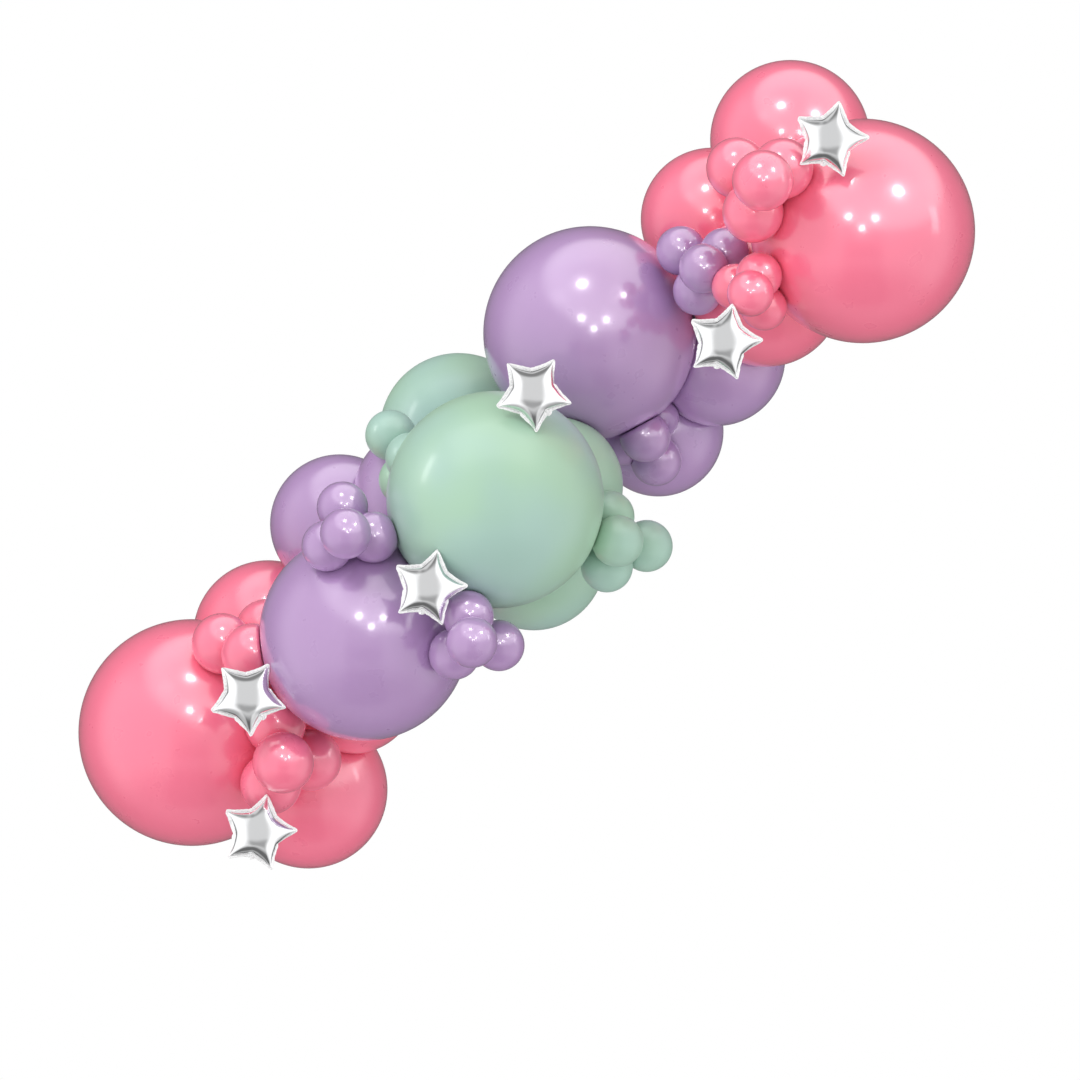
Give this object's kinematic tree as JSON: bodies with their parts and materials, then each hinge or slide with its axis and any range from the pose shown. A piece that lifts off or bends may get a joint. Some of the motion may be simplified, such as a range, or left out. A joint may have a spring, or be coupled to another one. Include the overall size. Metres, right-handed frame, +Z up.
{
  "type": "balloon garland",
  "caption": "Diagonal wall garland of round latex balloons in pink, lavender and mint, packed in large, medium and small sizes, with small silver foil stars on its front.",
  "frame": {"origin": "middle of the flat where the upper medium mint balloon is pressed on the wall, at the mount wall_mid", "axes": "+Z up, +X to the right as seen from the front, +Y into the wall: the garland stands out from the wall plane Y = 0 towards -Y"},
  "size_m": [1.6676, 0.828, 1.5056],
  "materials": {
    "pink_latex": "satin to glossy inflated latex film",
    "lavender_latex": "satin to glossy inflated latex film",
    "mint_latex": "satin inflated latex film",
    "silver_foil": "crinkled mirror-bright metallised film"
  },
  "bodies": {
    "root": {"lavender_lower_large": "lavender_latex", "lavender_lower_medium_right": "lavender_latex", "lavender_lower_medium_upper": "lavender_latex", "lavender_lower_small_g_1": "lavender_latex", "lavender_lower_small_g_2": "lavender_latex", "lavender_lower_small_g_3": "lavender_latex", "lavender_lower_small_g_front": "lavender_latex", "lavender_lower_small_h_1": "lavender_latex", "lavender_lower_small_h_2": "lavender_latex", "lavender_lower_small_h_3": "lavender_latex", "lavender_lower_small_h_front": "lavender_latex", "lavender_upper_large": "lavender_latex", "lavender_upper_medium_low": "lavender_latex", "lavender_upper_medium_right": "lavender_latex", "lavender_upper_small_b_1": "lavender_latex", "lavender_upper_small_b_2": "lavender_latex", "lavender_upper_small_b_3": "lavender_latex", "lavender_upper_small_b_front": "lavender_latex", "lavender_upper_small_d_1": "lavender_latex", "lavender_upper_small_d_2": "lavender_latex", "lavender_upper_small_d_3": "lavender_latex", "lavender_upper_small_d_front": "lavender_latex", "mint_large": "mint_latex", "mint_lower_medium": "mint_latex", "mint_right_medium": "mint_latex", "mint_small_e_1": "mint_latex", "mint_small_e_2_pair": "mint_latex", "mint_small_f_1": "mint_latex", "mint_small_f_2": "mint_latex", "mint_small_f_3": "mint_latex", "mint_small_f_front": "mint_latex", "mint_upper_medium": "mint_latex", "pink_lower_large": "pink_latex", "pink_lower_medium_low": "pink_latex", "pink_lower_medium_right": "pink_latex", "pink_lower_medium_upper": "pink_latex", "pink_lower_small_i_1": "pink_latex", "pink_lower_small_i_2": "pink_latex", "pink_lower_small_i_front": "pink_latex", "pink_lower_small_j_1": "pink_latex", "pink_lower_small_j_2": "pink_latex", "pink_lower_small_j_3": "pink_latex", "pink_lower_small_j_front": "pink_latex", "pink_upper_large": "pink_latex", "pink_upper_medium_left": "pink_latex", "pink_upper_medium_low": "pink_latex", "pink_upper_medium_top": "pink_latex", "pink_upper_small_a_1": "pink_latex", "pink_upper_small_a_2": "pink_latex", "pink_upper_small_a_3": "pink_latex", "pink_upper_small_a_front": "pink_latex", "pink_upper_small_c_1": "pink_latex", "pink_upper_small_c_2_pair": "pink_latex", "pink_upper_small_c_front": "pink_latex", "star_1": "silver_foil", "star_2": "silver_foil", "star_3": "silver_foil", "star_4": "silver_foil", "star_5": "silver_foil", "star_6": "silver_foil"}
  },
  "joints": []
}
